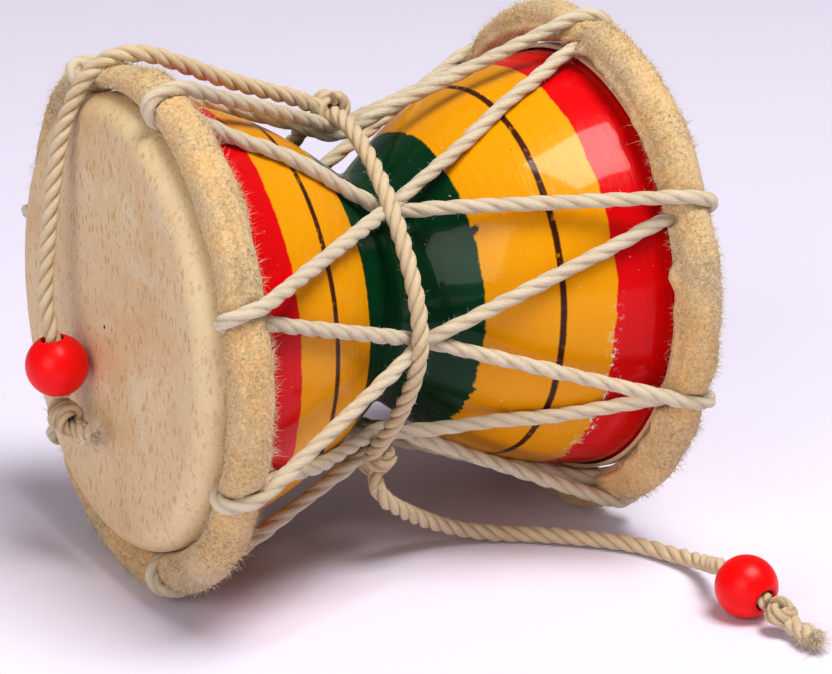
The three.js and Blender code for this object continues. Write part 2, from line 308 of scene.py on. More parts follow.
def loopPoints(name, index):  # round a hoop's section, from over its outside to under its inside
    hoop, centre = hoops[name], lacing[name][index]
    reach = hoops["section"] + lacing["radius"] - lacing["bite"]
    middle = hoopMiddle(name, centre)
    points = []
    for i in range(9):
        turn = math.radians(130 - 220 * i / 8)
        degrees = centre - lacing["spread"] + 2 * lacing["spread"] * i / 8
        up = math.sin(turn)
        rise = reach - drawnIn(name, centre) * up if up > 0 else hoop["ring"] - lacing["lowest"]
        x = hoop["side"] * (middle + reach * math.cos(turn))
        points.append(onDrum(x, hoop["ring"] + rise * up, degrees))
    x = hoop["side"] * (middle - reach)
    return points + [onDrum(x, lacing["lowest"], centre + lacing["spread"])]


def halfLeg(start, crossing, lift):  # from a hoop in over the shell to a crossing, ends left out
    knee = onDrum(lacing["crossingX"], crossing[1] + lift, crossing[0])
    points = []
    for i in range(1, 6):
        p = start + (knee - start) * i / 5
        radius = math.hypot(p[1], p[2] - axisHeight) / mm
        clear = float(shellRadius(p[0] / mm)) + lacing["radius"] + 0.15
        grow = max(radius, clear) / radius
        points.append(np.array([p[0], p[1] * grow, axisHeight + (p[2] - axisHeight) * grow]))
    return points


def lacingRoute():
    count = len(lacing["left"])
    loops = {name: [loopPoints(name, i) for i in range(count)] for name in ("left", "right")}
    route, i = [], 0
    for _ in range(count):
        left, right, after = loops["left"][i], loops["right"][i], (i + 2) % count
        between = lacing["crossings"][(after + count - 1) % count]
        route += left
        legIn = halfLeg(left[-1], lacing["crossings"][i], -lacing["ride"])
        legOut = halfLeg(right[0], lacing["crossings"][i], -lacing["ride"])
        route += legIn + legOut[-2::-1] + right
        legIn = halfLeg(right[-1], between, lacing["ride"])
        legOut = halfLeg(loops["left"][after][0], between, lacing["ride"])
        route += legIn + legOut[-2::-1]
        i = after
    return route + [loops["left"][0][0]]


def coil(centre, axis, radius, turns, drift, start):  # points of a few wraps about an axis
    axis = Vector(axis).normalized()
    side = axis.orthogonal().normalized()
    other = axis.cross(side)
    points = []
    for k in range(int(turns * 10) + 1):
        a = start + 2 * math.pi * k / 10
        out = side * math.cos(a) + other * math.sin(a)
        points.append(np.array(Vector(centre) + axis * drift * (k / (turns * 10) - 0.5) + out * radius))
    return points


routes = {  # the free cords, in millimetres, as in the model
    "left": [
        (-5, 5.6, 88.5), (-12, 4.6, 91.8), (-20, 4, 94.6), (-28, 4, 97.6), (-36, 4.4, 101),
        (-42.5, 5.6, 103.3), (-48.5, 7.6, 102.9), (-53, 9.4, 99.2), (-56.2, 10.8, 92.6),
        (-58.2, 11.2, 86), (-59.9, 11, 77), (-61.2, 10.5, 68.4), (-62.2, 9.9, 60), (-62.5, 9.2, 54.5),
    ],
    "right": [
        (-6.2, -20.6, 18.6), (-4.6, -21.6, 15.6), (-0.8, -20.6, 12.6), (4, -18.6, 9.4), (10, -17.2, 6),
        (17, -17.2, 3.2), (24, -19.4, 1.9), (31, -23.8, 1.9), (39, -30.4, 1.9), (45.6, -37.4, 1.9),
        (49, -45, 2.1), (50, -51.6, 3.2), (48.6, -58.4, 5.2),
    ],
    "leftKnot": (-59.8, 7.2, 32.6), "rightKnot": (48.4, -81.6, 4.4),
    "leftTail": [(-58.6, 2.4, 30.4), (-58, -2.6, 31.4)], "rightTail": [(49.4, -86, 2.6), (49.6, -90.4, 2.4)],
    "join": [(-4.6, -17.6, 25.4), (-5.6, -19.4, 21.8), (-6.2, -20.6, 18.6), (-5.8, -21.1, 17.4)],
    "beadRadius": 6.15,
}
waistKnots = {  # each knot's wraps: middle, degrees round the drum, and the angle they start at
    "wraps": [((-3.2, 6.2, 88.2), -9, 0.4), ((-4.8, -18.2, 23.6), 143, 1.2)],
    "thickness": 1.45 * mm, "radius": 2.35 * mm, "turns": 2.6, "length": 4.6 * mm,
}


def inMetres(points):
    return [np.array(p) * mm for p in points]


def boxMiddle(node):
    low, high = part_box(node)
    return (np.array(low) + np.array(high)) / 2


def makeLacing():
    parts = Parts()
    path = wander(smoothPath(lacingRoute(), softRope["step"]), 0.12 * mm, 14 * mm, 3)
    addRope(parts, path, softRope)
    piece = parts.piece("lacingCord")
    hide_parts("lacing_cord")
    return piece


def makeWaistCord():
    parts = Parts()
    places = zip(lacing["crossings"], waistLeans)
    ring = [onDrum(lacing["crossingX"] - lean, r + waistLift - 0.5, a) for (a, r), lean in places]
    closed = smoothPath(ring[-2:] + ring + ring[:2], threePly["step"])
    keep = nearest(closed, ring[0]), nearest(closed, ring[0], last=True)
    addRope(parts, closed[keep[0]:keep[1] + 1], threePly)
    k, wraps = waistKnots, dict(threePly, radius=waistKnots["thickness"])
    for centre, degrees, start in k["wraps"]:
        a = math.radians(degrees)
        along = (0.15, -math.cos(a), -math.sin(a))
        points = coil(np.array(centre) * mm, along, k["radius"], k["turns"], k["length"], start)
        addRope(parts, smoothPath(points, threePly["step"]), wraps)
    addRope(parts, smoothPath(inMetres(routes["join"]), threePly["step"]), threePly)
    piece = parts.piece("waistCord")
    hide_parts("waist_cord")
    return piece


def nearest(path, point, last=False):
    far = np.linalg.norm(path - point, axis=1)
    close = np.flatnonzero(far < far.min() + 0.4 * mm)
    return close[-1] if last else close[0]


def strikerPath(side):
    bead = boxMiddle(f"{side}_bead")
    knot = np.array(routes[side + "Knot"]) * mm
    way = (knot - bead) / np.linalg.norm(knot - bead)
    reach = routes["beadRadius"] * mm
    points = inMetres(routes[side]) + [bead - way * (reach + 0.8 * mm), bead]
    return smoothPath(points + [bead + way * (reach + 0.2 * mm)], threePly["step"])


def makeStriker(side):
    path = strikerPath(side)
    parts = Parts()
    addRope(parts, path, dict(threePly, seed=31 if side == "left" else 37))
    piece = parts.piece(side + "StrikerCord")
    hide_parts(side + "_striker_cord")
    return piece, path


def frayed(parts, path, look, count, length, spread, seed):  # a cut end that has come loose
    rng = np.random.default_rng(seed)
    way = path[-1] - path[-8]
    way /= np.linalg.norm(way)
    back = rng.integers(1, 9, count)
    roots = path[-back] + rng.normal(0, look["radius"] * 0.45, (count, 3))
    ways = way + rng.normal(0, spread, (count, 3))
    parts.addFibres(*fibres(roots, ways, rng.uniform(0.3, 1, count) * length, 0.06 * mm, seed, 0.5))


def makeLeftKnot():
    parts = Parts()
    knot = np.array(routes["leftKnot"]) * mm
    rope = dict(threePly, radius=1.25 * mm, seed=41)
    points = coil(knot, (0.15, -1, -0.12), 2.1 * mm, 3.2, 5.6 * mm, 1.0)
    addRope(parts, smoothPath(points, rope["step"]), rope)
    tailStart = knot + np.array([0.4, -0.6, -1.2]) * mm
    tail = smoothPath([tailStart] + inMetres(routes["leftTail"]), rope["step"])
    addRope(parts, tail, rope, np.linspace(0.9, 1.35, len(tail)))
    frayed(parts, tail, rope, 420, 3.4 * mm, 0.55, 43)
    piece = parts.piece("leftEndKnot")
    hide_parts("left_end_knot")
    return piece


def makeRightKnot():
    parts = Parts()
    knot = np.array(routes["rightKnot"]) * mm
    rope = dict(threePly, radius=1.35 * mm, seed=47)
    points = coil(knot, (0.25, -0.3, 0.9), 1.7 * mm, 2.2, 2.8 * mm, 0.3)
    addRope(parts, smoothPath(points, rope["step"]), rope)
    loose = dict(threePly, radius=1.6 * mm, seed=53, pitch=10 * mm)
    tail = smoothPath([knot] + inMetres(routes["rightTail"]), loose["step"])
    addRope(parts, tail, loose, np.linspace(1, 1.4, len(tail)))
    frayed(parts, tail, loose, 700, 4.2 * mm, 0.3, 59)
    piece = parts.piece("rightEndKnot", lowest=0.1 * mm)
    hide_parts("right_end_knot")
    return piece


lacingCord = makeLacing()
waistCord = makeWaistCord()
leftStriker, leftWay = makeStriker("left")
rightStriker, rightWay = makeStriker("right")
leftKnot = makeLeftKnot()
rightKnot = makeRightKnot()
print("cords laid")


# Finishes
class Wire:  # a node's output that ordinary arithmetic works on
    def __init__(self, finish, socket):
        self.finish, self.socket = finish, socket

    def work(self, operation, *values):
        return self.finish.node("ShaderNodeMath", {"operation": operation}, dict(enumerate(values)))[0]

    def __add__(self, other):
        return self.work("ADD", self, other)

    def __sub__(self, other):
        return self.work("SUBTRACT", self, other)

    def __rsub__(self, other):
        return self.work("SUBTRACT", other, self)

    def __mul__(self, other):
        return self.work("MULTIPLY", self, other)

    def __pow__(self, other):
        return self.work("POWER", self, other)

    __radd__, __rmul__ = __add__, __mul__

    def size(self):
        return self.work("ABSOLUTE", self)

    def above(self, edge, soft):  # 0 well below the edge, 1 well above it
        out = self.finish.node("ShaderNodeMath", {"operation": "MULTIPLY_ADD", "use_clamp": True},
                               {0: self, 1: 1 / soft, 2: 0.5 - edge / soft})
        return out[0]

    def below(self, edge, soft):
        return 1 - self.above(edge, soft)


class Finish:  # a material and the few ways its nodes are made
    def __init__(self, name, **shader):
        self.material = bpy.data.materials.new(name)
        self.material.use_nodes = True
        self.tree = self.material.node_tree
        self.shader = self.tree.nodes["Principled BSDF"]
        for key, value in shader.items():
            self.shader.inputs[key.replace("_", " ")].default_value = value

    def node(self, kind, settings, inputs):
        made = self.tree.nodes.new(kind)
        for key, value in settings.items():
            if key == "stops":
                ramp = made.color_ramp
                while len(ramp.elements) < len(value):
                    ramp.elements.new(0.5)
                for element, (at, color) in zip(ramp.elements, value):
                    element.position, element.color = at, (*color, 1)
            else:
                setattr(made, key, value)
        for key, value in inputs.items():
            self.join(value, made.inputs[key])
        return [Wire(self, out) for out in made.outputs]

    def join(self, value, socket):
        if isinstance(value, Wire):
            self.tree.links.new(value.socket, socket)
        elif isinstance(value, tuple) and socket.type == "RGBA":
            socket.default_value = (*value, 1)
        else:
            socket.default_value = value

    def place(self):
        return self.node("ShaderNodeTexCoord", {}, {})[3]

    def attribute(self, name):
        return self.node("ShaderNodeAttribute", {"attribute_name": name}, {})

    def axes(self, vector):
        return self.node("ShaderNodeSeparateXYZ", {}, {0: vector})

    def stretched(self, vector, scale, moved=(0, 0, 0)):
        return self.node("ShaderNodeMapping", {}, {0: vector, 1: moved, 3: scale})[0]

    def cloud(self, vector, scale, detail=3.0, roughness=0.55, twist=0.0):
        shape = {"Scale": scale, "Detail": detail, "Roughness": roughness, "Distortion": twist}
        return self.node("ShaderNodeTexNoise", {}, {"Vector": vector, **shape})[0]

    def cells(self, vector, scale):
        return self.node("ShaderNodeTexVoronoi", {}, {"Vector": vector, "Scale": scale})

    def mix(self, amount, first, second):  # two colours
        settings = {"data_type": "RGBA", "clamp_factor": True}
        return self.node("ShaderNodeMix", settings, {0: amount, 6: first, 7: second})[2]

    def ramp(self, amount, stops):
        return self.node("ShaderNodeValToRGB", {"stops": stops}, {0: amount})[0]

    def relief(self, height, depth):  # depth in metres
        inputs = {"Height": height, "Distance": depth, "Strength": 1.0}
        self.join(self.node("ShaderNodeBump", {}, inputs)[0], self.shader.inputs["Normal"])

    def use(self, **sockets):
        for key, value in sockets.items():
            self.join(value, self.shader.inputs[key.replace("_", " ")])
        return self.material


paint = {
    "green": (0.003, 0.07, 0.022), "deepGreen": (0.0006, 0.01, 0.004),
    "yellow": (0.8, 0.36, 0.002), "deepYellow": (0.64, 0.24, 0.001),
    "red": (0.74, 0.002, 0.005), "deepRed": (0.33, 0.001, 0.003),
    "line": (0.06, 0.014, 0.004), "chip": (0.85, 0.72, 0.62), "speck": (0.02, 0.01, 0.01),
    "scratch": (0.9, 0.6, 0.55), "bareNick": (0.012, 0.006, 0.004),
    "leftEdges": {"green": 13.7, "line": 23.5, "red": 32.7},  # millimetres from the middle
    "rightEdges": {"green": 12.1, "line": 25.3, "red": 35.4},
    "lineWidth": 1.2, "nick": (12.6, -24.9, 69.8), "nickSize": 0.9, "edgeBlur": 0.3 * mm,
}


def lacquerFinish():
    f = Finish("gloss lacquer in bands", Specular_IOR_Level=0.1, Coat_Weight=0.32, Coat_Roughness=0.07)
    place = f.place()
    x, y, z = f.axes(place)
    waver = (f.cloud(place, 90, 2) - 0.5) * 0.0016 + (f.cloud(place, 900, 2) - 0.5) * 0.0005
    ragged = (f.cloud(place, 420, 4, 0.7) - 0.5) * 0.0034
    low = (z * -1).above(-0.05, 0.016) * x.above(0, 0.004)
    along = x + waver + ragged * low
    cloudy = f.cloud(place, 60, 3)
    streaks = f.cloud(f.stretched(place, (9, 1, 1)), 130, 3)
    blur = paint["edgeBlur"]

    def bands(edges, way):
        far = along * way
        line = (x * way + waver * 0.4 - edges["line"] * mm).size()
        line = line.below(paint["lineWidth"] / 2 * mm, blur)
        color = f.mix(cloudy * 0.35 + streaks * 0.3, paint["yellow"], paint["deepYellow"])
        color = f.mix(line * f.cloud(place, 700, 2).above(0.3, 0.2), color, paint["line"])
        green = f.mix(cloudy, paint["green"], paint["deepGreen"])
        color = f.mix(far.below(edges["green"] * mm, blur), color, green)
        red = f.mix(cloudy * 0.5, paint["red"], paint["deepRed"])
        return f.mix(far.above(edges["red"] * mm, blur), color, red)

    color = f.mix(x.above(0, 0.0001), bands(paint["leftEdges"], -1), bands(paint["rightEdges"], 1))
    edge = (along - paint["rightEdges"]["red"] * mm).size().below(0.0011, 0.0012)
    flakes = edge * f.cloud(place, 800, 3, 0.7).above(0.57, 0.05) * low
    specks = f.cells(place, 330)[0].below(0.035, 0.02) * f.cloud(place, 150, 2).above(0.56, 0.05)
    scratches = f.cloud(f.stretched(place, (1.2, 0.25, 1.4)), 900, 2, 0.4).above(0.735, 0.02)
    scratches = scratches * f.cloud(place, 70, 2).above(0.55, 0.08)
    fromX, fromY, fromZ = (v - at * mm for v, at in zip((x, y, z), paint["nick"]))
    away = (fromX * fromX + fromY * fromY + fromZ * fromZ) ** 0.5 + waver + ragged
    color = f.mix(flakes, color, paint["chip"])
    color = f.mix(away.below(paint["nickSize"] * mm, 0.0004), color, paint["bareNick"])
    color = f.mix(specks * 0.7, color, paint["speck"])
    color = f.mix(scratches * 0.45, color, paint["scratch"])
    rough = 0.22 + f.cloud(place, 240, 3) * 0.16 + flakes * 0.4 + scratches * 0.2
    brushed = f.cloud(f.stretched(place, (6, 1, 1)), 160, 2)
    height = f.cloud(place, 190, 3) * 0.6 + brushed * 0.5 - specks * 0.6 + flakes * 0.6 - scratches * 0.3
    f.relief(height, 0.00028)
    return f.use(Base_Color=color, Roughness=rough)


def skinFinish():
    f = Finish("stretched goat skin", Coat_Weight=0.12, Coat_Roughness=0.35,
               Subsurface_Weight=0.12, Subsurface_Radius=(0.0012, 0.0008, 0.0004))
    place = f.place()
    y, z = f.axes(place)[1:]
    tones = [(0.3, (0.72, 0.54, 0.3)), (0.5, (0.67, 0.47, 0.24)), (0.72, (0.6, 0.37, 0.15))]
    color = f.ramp(f.cloud(place, 42, 4, 0.6, 0.6), tones)
    pale = f.cloud(place, 95, 3, 0.6, 0.4).above(0.6, 0.12) * f.cloud(place, 30, 2).above(0.52, 0.1)
    color = f.mix(pale * 0.4, color, (0.76, 0.66, 0.5))

    def marks(tall, scale, size, soft):  # spots that lie upright, as the hairs did
        return f.cells(f.stretched(place, (1, 1, tall)), scale)[0].below(size, soft)

    flecks = marks(0.42, 850, 0.32, 0.16) * f.cloud(place, 260, 2).above(0.47, 0.08)
    color = f.mix(flecks * 0.8, color, (0.5, 0.24, 0.07))
    fine = marks(0.5, 1500, 0.3, 0.16) * f.cloud(place, 330, 2).above(0.5, 0.08)
    color = f.mix(fine * 0.6, color, (0.46, 0.22, 0.07))
    dots = marks(0.7, 300, 0.07, 0.03) * f.cloud(place, 110, 2).above(0.52, 0.05)
    color = f.mix(dots * 0.8, color, (0.2, 0.1, 0.05))
    # painted highlight: the skin is made paler towards its rounded rim, as if light caught the bend there
    height = z - axisHeight
    radius = (y * y + height * height) ** 0.5
    color = f.mix(radius.above(0.042, 0.006) * 0.45, color, (0.84, 0.72, 0.46))
    grain = f.cloud(f.stretched(place, (1, 1, 0.35)), 1400, 3)
    color = f.mix((grain - 0.5) * 0.5 + 0.2, color, (0.8, 0.66, 0.45))
    f.relief(grain * 0.4 + f.cloud(place, 320, 3) * 0.6 + flecks * 0.3, 0.00018)
    return f.use(Base_Color=color, Roughness=0.42 + f.cloud(place, 150, 3) * 0.25)


def hideFinish():
    f = Finish("rough raw hide", Roughness=0.85, Sheen_Weight=0.25)
    place = f.place()
    tones = [(0.3, (0.54, 0.41, 0.25)), (0.45, (0.66, 0.45, 0.22)), (0.6, (0.7, 0.43, 0.17))]
    color = f.ramp(f.cloud(place, 55, 3, 0.6, 0.5), tones + [(0.75, (0.74, 0.55, 0.31))])
    mottle = f.cloud(place, 1500, 4, 0.65)
    color = f.mix(mottle.above(0.54, 0.2), color, f.mix(0.3, color, (0.16, 0.09, 0.04)))
    moved = f.stretched(place, (1, 1, 1), (0.3, 0.1, 0.2))
    light = f.cloud(moved, 1900, 3, 0.6).above(0.56, 0.12)
    color = f.mix(light * 0.4, color, (0.84, 0.68, 0.44))
    f.relief(mottle * 0.6 + f.cloud(place, 600, 3) * 0.8, 0.0004)
    return f.use(Base_Color=color)


def hairFinish():
    f = Finish("hide hairs", Roughness=0.75)
    tones = [(0, (0.5, 0.38, 0.22)), (0.45, (0.76, 0.62, 0.38)), (1, (0.88, 0.78, 0.58))]
    return f.use(Base_Color=f.ramp(f.attribute("shade")[2], tones))


def cottonFinish(name, look):
    f = Finish(name, Roughness=0.92, Sheen_Weight=0.3,
               Subsurface_Weight=0.08, Subsurface_Radius=(0.0008, 0.0006, 0.0004))
    strand, shade = f.attribute("strand")[1], f.attribute("shade")[2]
    across, over = f.axes(strand)[1:]
    depth = (across * across + over * over) ** 0.5
    fine = f.cloud(f.stretched(strand, (0.16, 1, 1)), look["yarns"], 3, 0.6)
    finer = f.cloud(f.stretched(strand, (0.3, 1, 1)), look["yarns"] * 2.4, 2)
    color = f.mix(fine, look["pale"], look["warm"])
    color = f.mix(f.cloud(f.place(), 160, 2).above(0.58, 0.14) * 0.45, color, look["warm"])
    # painted shade: the cord is darker in the grooves between its plies, where shade falls
    color = f.mix(depth.below(0.00112, 0.0007) * 0.75, color, look["grooveShade"])
    color = f.mix(shade.above(-0.5, 0.1), color, f.mix(shade, look["warm"], (0.93, 0.88, 0.78)))
    f.relief(fine * 0.8 + finer * 0.4, 0.00035)
    return f.use(Base_Color=color)


def beadFinish():
    f = Finish("red plastic bead", Specular_IOR_Level=0.25, Coat_Weight=0.1, Coat_Roughness=0.25,
               Subsurface_Weight=0.15, Subsurface_Radius=(0.003, 0.0004, 0.0003))
    place = f.place()
    scuffs = f.cloud(place, 900, 3, 0.6).above(0.66, 0.05)
    color = f.mix(f.cloud(place, 120, 2) * 0.4, (0.9, 0.002, 0.003), (0.72, 0.001, 0.002))
    f.relief(f.cloud(place, 300, 2) * 0.5 + scuffs * 0.4, 0.00008)
    return f.use(Base_Color=color, Roughness=0.3 + f.cloud(place, 500, 2) * 0.14 + scuffs * 0.15)


lacquer = lacquerFinish()
goatSkin = skinFinish()
rawHide = hideFinish()
hideHair = hairFinish()
# each cord's colours include a painted shade for the grooves between its plies
softCotton = cottonFinish("soft white cotton cord", {
    "pale": (0.74, 0.66, 0.52), "warm": (0.62, 0.5, 0.34), "grooveShade": (0.32, 0.22, 0.12), "yarns": 2600})
plyCotton = cottonFinish("three-ply cotton cord", {
    "pale": (0.74, 0.62, 0.44), "warm": (0.62, 0.46, 0.27), "grooveShade": (0.3, 0.18, 0.08), "yarns": 2400})
redPlastic = beadFinish()
print("finishes made")


# Turned and bent pieces
def startClean():
    if bpy.context.object and bpy.context.object.mode != "OBJECT":
        bpy.ops.object.mode_set(mode="OBJECT")
    bpy.ops.object.select_all(action="DESELECT")


def dress(piece, finish):
    piece.data.materials.append(finish)
    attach(piece, "root")


def finishPiece(name, finish, node):
    piece = bpy.context.object
    piece.name = name
    dress(piece, finish)
    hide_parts(node)
    return piece


def turnAboutAxis(stations, segments, ring):  # a circle drawn along the drum and sized at each station
    startClean()
    x, radius = stations[0]
    bpy.ops.mesh.primitive_circle_add(vertices=segments, radius=radius * mm,
                                      location=(x * mm, 0, axisHeight), rotation=(0, math.pi / 2, 0))
    bpy.ops.object.transform_apply(location=True, rotation=True, scale=True)
    bpy.ops.object.mode_set(mode="EDIT")
    bpy.ops.mesh.select_all(action="SELECT")
    for (x0, r0), (x1, r1) in zip(stations, stations[1:]):
        bpy.ops.mesh.extrude_region_move(TRANSFORM_OT_translate={"value": ((x1 - x0) * mm, 0, 0)})
        if abs(r1 - r0) > 1e-6:
            size = r1 / r0
            bpy.ops.transform.resize(value=(1, size, size), center_override=(x1 * mm, 0, axisHeight))
    bpy.ops.mesh.select_all(action="DESELECT")
    bpy.ops.mesh.select_mode(type="EDGE")
    bpy.ops.mesh.select_non_manifold(extend=False)
    if ring:
        bpy.ops.mesh.bridge_edge_loops()
    else:
        bpy.ops.mesh.fill()
    bpy.ops.mesh.select_all(action="SELECT")
    bpy.ops.mesh.remove_doubles(threshold=0.000001)
    bpy.ops.mesh.normals_make_consistent(inside=False)
    bpy.ops.object.mode_set(mode="OBJECT")
    bpy.ops.object.shade_smooth_by_angle(angle=math.radians(40))


shellSizes = {
    "half": 53.4, "rim": 43.3, "rounding": 4, "wall": 4, "bore": 10, "segments": 192, "stations": 46,
}


def makeShell():
    half, rim, rounding = shellSizes["half"], shellSizes["rim"], shellSizes["rounding"]
    outer = [(x, float(shellRadius(x))) for x in np.linspace(-44, 44, shellSizes["stations"] * 2 + 1)]
    edge = []
    for i in range(9):
        a = i / 8 * math.pi / 2
        edge.append((half - rounding + rounding * math.sin(a), rim - rounding * (1 - math.cos(a))))
    innerEdge = rim - rounding - 0.4
    inner = [(half, innerEdge)]
    for x in (36, 28, 20, 16, 12, 9, 6):
        wall = shellSizes["wall"] if x > 12 else shellSizes["wall"] + 14 - x
        inner.append((x, max(shellSizes["bore"], min(float(shellRadius(x)) - wall, innerEdge))))
    side = edge + inner
    turnAboutAxis([(-x, r) for x, r in reversed(side)] + outer + side, shellSizes["segments"], True)
    return finishPiece("paintedShell", lacquer, "shell")


skinSizes = {
    "flat": 54.5, "edge": 44.4, "bend": 5.1, "thick": 0.8, "skirt": 47, "segments": 192,
    "waves": 0.35 * mm, "waveLength": 22 * mm,
}


def makeSkin(side):
    s, way = skinSizes, -1 if side == "left" else 1
    over, under = [], []
    inside = s["bend"] - s["thick"]
    x, radius = s["flat"] - s["bend"], s["edge"] - s["bend"]  # the middle of the bend
    for i in range(13):
        a = i / 12 * math.pi / 2
        over.append((x + s["bend"] * math.cos(a), radius + s["bend"] * math.sin(a)))
        under.append((x + inside * math.cos(a), radius + inside * math.sin(a)))
    flatRings = [0.4] + list(np.linspace(2, 38, 19))
    profile = [(s["flat"], r) for r in flatRings] + over + [(s["skirt"], s["edge"])]
    profile += [(s["skirt"], s["edge"] - s["thick"])] + under[::-1]
    profile += [(s["flat"] - s["thick"], r) for r in flatRings[::-1]]
    turnAboutAxis([(way * x, r) for x, r in profile], s["segments"], False)
    piece = finishPiece(side + "Skin", goatSkin, side + "_head")
    waves = bpy.data.textures.new(side + "SkinWaves", "CLOUDS")
    waves.noise_scale = s["waveLength"]
    ripple = piece.modifiers.new("waves", "DISPLACE")
    ripple.texture, ripple.texture_coords = waves, "LOCAL"
    ripple.direction, ripple.strength, ripple.mid_level = "X", s["waves"], 0.5
    bpy.ops.object.modifier_apply(modifier="waves")


hideSizes = {  # millimetres, apart from the hairs
    "around": 560, "section": 72, "lumps": 0.42, "lumpSize": 6.5, "grain": 0.12, "grainSize": 1.6,
    "lip": 1.3, "lipAt": 196, "groove": 0.75, "grooveAt": 72, "grooveMiddle": 48, "grooveWidth": 45,
    "least": 44.55, "seeds": {"left": 0, "right": 40},
    "hairs": 12500, "hairLength": 1.8 * mm, "hairThickness": 0.05 * mm,
    "hairSeeds": {"left": 71, "right": 73},
}


def noiseAt(points, size, shift):
    return np.array([noise.noise(Vector(p) / size + Vector(shift)) for p in points])


def hideGrowth(side, at, section, degrees):  # how much thicker than a round ring, as a share
    s, seed = hideSizes, hideSizes["seeds"][side]
    grow = noiseAt(at, s["lumpSize"], (seed, 0, 0)) * s["lumps"]
    grow = 1 + (grow + noiseAt(at, s["grainSize"], (0, seed, 0)) * s["grain"]) / hoops["section"]
    if side == "left":  # a lengthwise fold where the hide overlaps
        fold = np.radians(s["grooveAt"] + 8 * np.sin(np.radians(degrees * 3)))
        near = np.exp(-(((section - fold) / 0.2) ** 2)) * bump(degrees - s["grooveMiddle"], s["grooveWidth"])
        grow -= s["groove"] / hoops["section"] * near
    ragged = np.array([noise.noise(Vector((seed, 0.21 * d, 0))) for d in degrees])
    lip = np.maximum(s["lip"] * (0.75 + 0.9 * ragged), 0.1)
    off = (section - math.radians(s["lipAt"]) + 3 * math.pi) % (2 * math.pi) - math.pi
    return grow + lip / hoops["section"] * np.exp(-((off / 0.2) ** 2))


def pressLoop(side, centre, degrees, out, up):  # one loop of cord pressed into the hide
    hoop, spread = hoops[side], lacing["spread"]
    reach = hoops["section"] + lacing["radius"] - lacing["bite"]
    drawn = float(drawnIn(side, centre))
    rise = np.where(up > 0, reach - drawn * np.clip(up / 3, 0, 1), hoop["ring"] - lacing["lowest"])
    turn = np.arctan2(up / rise, out / reach)
    share = (-np.degrees(turn - math.radians(130)) % 360) / 220
    middle = centre - spread + 2 * spread * np.clip(share, 0, 1)
    aside = np.abs((degrees - middle + 540) % 360 - 180) * math.pi / 180 * (hoop["ring"] + up)
    cord = lacing["radius"] + 0.12
    deep = np.sqrt(np.maximum(cord**2 - aside**2, 0))
    limit = 1 - deep / np.hypot(reach * np.cos(turn), rise * np.sin(turn))
    now = np.sqrt((up / rise) ** 2 + (out / reach) ** 2)
    cut = np.where((aside < cord) & (now > limit), limit / np.maximum(now, 1e-6), 1)
    return out * cut, up * cut


def makeHoop(side):
    hoop, s = hoops[side], hideSizes
    startClean()
    bpy.ops.mesh.primitive_torus_add(location=(hoop["side"] * hoop["middle"] * mm, 0, axisHeight),
                                     rotation=(0, math.pi / 2, 0), major_segments=s["around"],
                                     minor_segments=s["section"], major_radius=hoop["ring"] * mm,
                                     minor_radius=hoops["section"] * mm)
    bpy.ops.object.transform_apply(location=True, rotation=True, scale=True)
    piece = bpy.context.object
    at = np.empty(len(piece.data.vertices) * 3)
    piece.data.vertices.foreach_get("co", at)
    at = at.reshape(-1, 3) / mm
    height = axisHeight / mm
    degrees = np.degrees(np.arctan2(-at[:, 1], at[:, 2] - height))
    out = hoop["side"] * at[:, 0] - hoop["middle"]  # from the ring's middle towards the head
    up = np.hypot(at[:, 1], at[:, 2] - height) - hoop["ring"]
    section = np.arctan2(up, out)  # 90 degrees is outermost, 0 faces the head, 180 the waist
    grow = hideGrowth(side, at, section, degrees)
    out, up = out * grow, up * grow
    up = up - drawnIn(side, degrees) * np.clip((up + hoops["section"]) / (2 * hoops["section"]), 0, 1.1)
    for centre in lacing[side]:
        out, up = pressLoop(side, centre, degrees, out, up)
    radius = np.maximum(hoop["ring"] + up, s["least"])
    a = np.radians(degrees)
    x = hoop["side"] * (hoopMiddle(side, degrees) + out)
    z = np.maximum(height + radius * np.cos(a), 0)
    at = np.stack([x, -radius * np.sin(a), z], axis=1) * mm
    piece.data.vertices.foreach_set("co", at.ravel())
    piece.data.update()
    bpy.ops.object.shade_smooth()
    return finishPiece(side + "Hoop", rawHide, side + "_hoop")


def makeHoopHairs(side, hoopPiece):
    s, mesh = hideSizes, hoopPiece.data
    count = len(mesh.vertices)
    at, out = np.empty(count * 3), np.empty(count * 3)
    mesh.vertices.foreach_get("co", at)
    mesh.vertices.foreach_get("normal", out)
    at, out = at.reshape(-1, 3), out.reshape(-1, 3)
    radius = np.hypot(at[:, 1], at[:, 2] - axisHeight)
    bare = (radius < (hoops[side]["ring"] - 2.6) * mm) | (at[:, 2] < 1.2 * mm)
    patch = np.array([noise.noise(Vector(p) * 90) for p in at])
    chance = np.where(bare, 0, np.clip(0.55 + patch * 1.3, 0.12, 1))
    rng = np.random.default_rng(s["hairSeeds"][side])
    pick = rng.choice(count, s["hairs"], p=chance / chance.sum())
    ways = out[pick] * rng.uniform(0.05, 0.45, (len(pick), 1)) + rng.normal(0, 0.75, (len(pick), 3))
    inward = (ways * out[pick]).sum(axis=1)
    ways -= out[pick] * np.minimum(inward - 0.12, 0)[:, None]
    lengths = rng.uniform(0.35, 1, len(pick)) * s["hairLength"]
    roots = at[pick] - out[pick] * 0.03 * mm
    points, faces, shade = fibres(roots, ways, lengths, s["hairThickness"], 79, 0.8)
    points[:, 2] = np.maximum(points[:, 2], 0.05 * mm)
    hairs = newPiece(side + "HoopHairs", points, faces)
    giveAttribute(hairs, "shade", "FLOAT", shade)
    dress(hairs, hideHair)


makeShell()
for side in ("left", "right"):
    makeSkin(side)
    makeHoopHairs(side, makeHoop(side))
print("drum made")

beadSizes = {
    "bore": 1.95, "lip": 0.45, "segments": 96, "rings": 56,
    "lipShapes": [(0.86, 0.86, 0.975), (0.96, 0.96, 0.9)],  # each ring of the rounded rim, from the last
}


